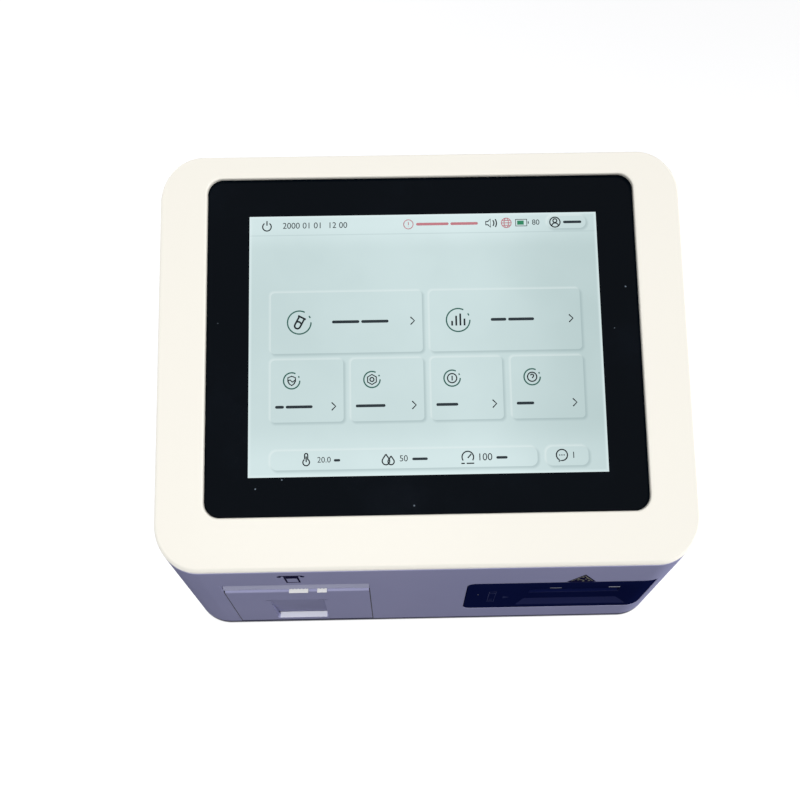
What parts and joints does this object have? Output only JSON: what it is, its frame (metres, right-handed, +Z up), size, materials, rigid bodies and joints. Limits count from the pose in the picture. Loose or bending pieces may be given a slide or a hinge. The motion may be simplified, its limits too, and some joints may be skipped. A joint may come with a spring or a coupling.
{
  "type": "blood gas analyzer",
  "caption": "Bench-top blood gas analyzer: wedge-shaped case with a sloped touch screen, a strip printer behind a drop-down door and a test card port in a dark panel.",
  "frame": {"origin": "on the surface it stands on, under the middle of its outline", "axes": "+X to the right seen from the front, +Y to the back, +Z up"},
  "size_m": [0.242, 0.174, 0.1604],
  "materials": {
    "body_plastic": "satin moulded plastic",
    "bezel_plastic": "satin-gloss moulded plastic",
    "door_plastic": "satin moulded plastic",
    "black_glass": "gloss cover glass",
    "foam": "closed-cell foam",
    "display": "display module",
    "sheet_steel": "plated sheet",
    "screw_steel": "plated fastener",
    "shaft_steel": "ground steel",
    "rubber_black": "matte rubber",
    "circuit_board": "solder mask",
    "battery_wrap": "shrink wrap",
    "dark_panel": "high gloss",
    "dark_plastic": "fine texture",
    "gear_plastic": "natural acetal",
    "paper": "uncoated paper",
    "cardboard": "cardboard",
    "ceramic": "glazed ceramic",
    "alloy": "milled aluminium",
    "brass": "turned brass",
    "socket_metal": "plated socket shell",
    "light_pipe": "clear moulding"
  },
  "bodies": {
    "base": {"main_housing": "body_plastic", "base_tray": "body_plastic", "screen_bezel": "bezel_plastic", "cover_glass": "black_glass", "glass_gasket": "foam", "lcd_module": "display", "lcd_bracket": "sheet_steel", "bracket_screws": "screw_steel", "rubber_feet": "rubber_black", "base_screws": "screw_steel", "main_board": "circuit_board", "board_standoffs": "brass", "board_screws": "screw_steel", "battery_pack": "battery_wrap", "battery_bracket": "sheet_steel", "speaker": "dark_plastic", "lan_port": "socket_metal", "usb_ports": "socket_metal", "power_inlet": "dark_plastic", "switch_frame": "dark_plastic", "printer_tub": "dark_plastic", "hinge_pins": "shaft_steel", "tear_bar": "body_plastic", "paper_strip": "paper", "printer_frame": "sheet_steel", "printer_motor": "screw_steel", "head_springs": "sheet_steel", "card_panel": "dark_panel", "slot_lights": "light_pipe", "card_guide": "dark_plastic", "guide_posts": "alloy", "heater_plate": "alloy", "guide_rods": "shaft_steel", "head_bridge": "sheet_steel", "clamp_motor": "screw_steel"},
    "door": {"printer_door": "door_plastic"},
    "platen": {"platen_shaft": "shaft_steel", "platen_rubber": "rubber_black", "platen_gear": "gear_plastic"},
    "idler": {"idler_gear": "gear_plastic"},
    "pinion": {"motor_pinion": "brass"},
    "roll": {"paper_roll": "paper", "roll_core": "cardboard"},
    "head": {"print_head": "ceramic", "head_heatsink": "alloy"},
    "rocker": {"switch_rocker": "dark_plastic"},
    "contacts": {"contact_head": "dark_plastic", "contact_pins": "brass"},
    "screw": {"lead_screw": "shaft_steel"}
  },
  "joints": [
    {"name": "door_hinge", "type": "hinge", "parent": "base", "child": "door", "pos_m": [-0.0614, -0.0817, 0.0072], "axis": [1, 0, 0], "range_deg": [0, 80]},
    {"name": "platen_spin", "type": "hinge", "parent": "door", "child": "platen", "pos_m": [-0.0614, -0.077, 0.0455], "axis": [1, 0, 0], "continuous": true},
    {"name": "idler_spin", "type": "hinge", "parent": "base", "child": "idler", "pos_m": [-0.0303, -0.06639, 0.05302], "axis": [1, 0, 0], "continuous": true},
    {"name": "pinion_spin", "type": "hinge", "parent": "base", "child": "pinion", "pos_m": [-0.0303, -0.056, 0.0545], "axis": [1, 0, 0], "continuous": true},
    {"name": "roll_spin", "type": "hinge", "parent": "base", "child": "roll", "pos_m": [-0.0614, -0.054, 0.0258], "axis": [1, 0, 0], "continuous": true},
    {"name": "head_pivot", "type": "hinge", "parent": "base", "child": "head", "pos_m": [-0.0614, -0.06925, 0.0405], "axis": [1, 0, 0], "range_deg": [-3, 0], "stiffness_Nm_per_rad": 0.4, "springref_deg": 3.44},
    {"name": "rocker_tilt", "type": "hinge", "parent": "base", "child": "rocker", "pos_m": [0.006, 0.079, 0.0265], "axis": [1, 0, 0], "range_deg": [-20, 0]},
    {"name": "contact_slide", "type": "slide", "parent": "base", "child": "contacts", "axis": [0, 0, 1], "range_m": [-0.005, 0]},
    {"name": "screw_spin", "type": "hinge", "parent": "base", "child": "screw", "pos_m": [0.073, -0.039, 0.06299], "axis": [0, 0, 1], "range_deg": [-2, 452]}
  ],
  "couplings": [
    {"joint": "platen_spin", "follows": "roll_spin", "ratio": -3.913},
    {"joint": "idler_spin", "follows": "roll_spin", "ratio": 2.8696},
    {"joint": "pinion_spin", "follows": "roll_spin", "ratio": -7.1739},
    {"joint": "screw_spin", "follows": "contact_slide", "rad_per_m": -1570.8}
  ]
}
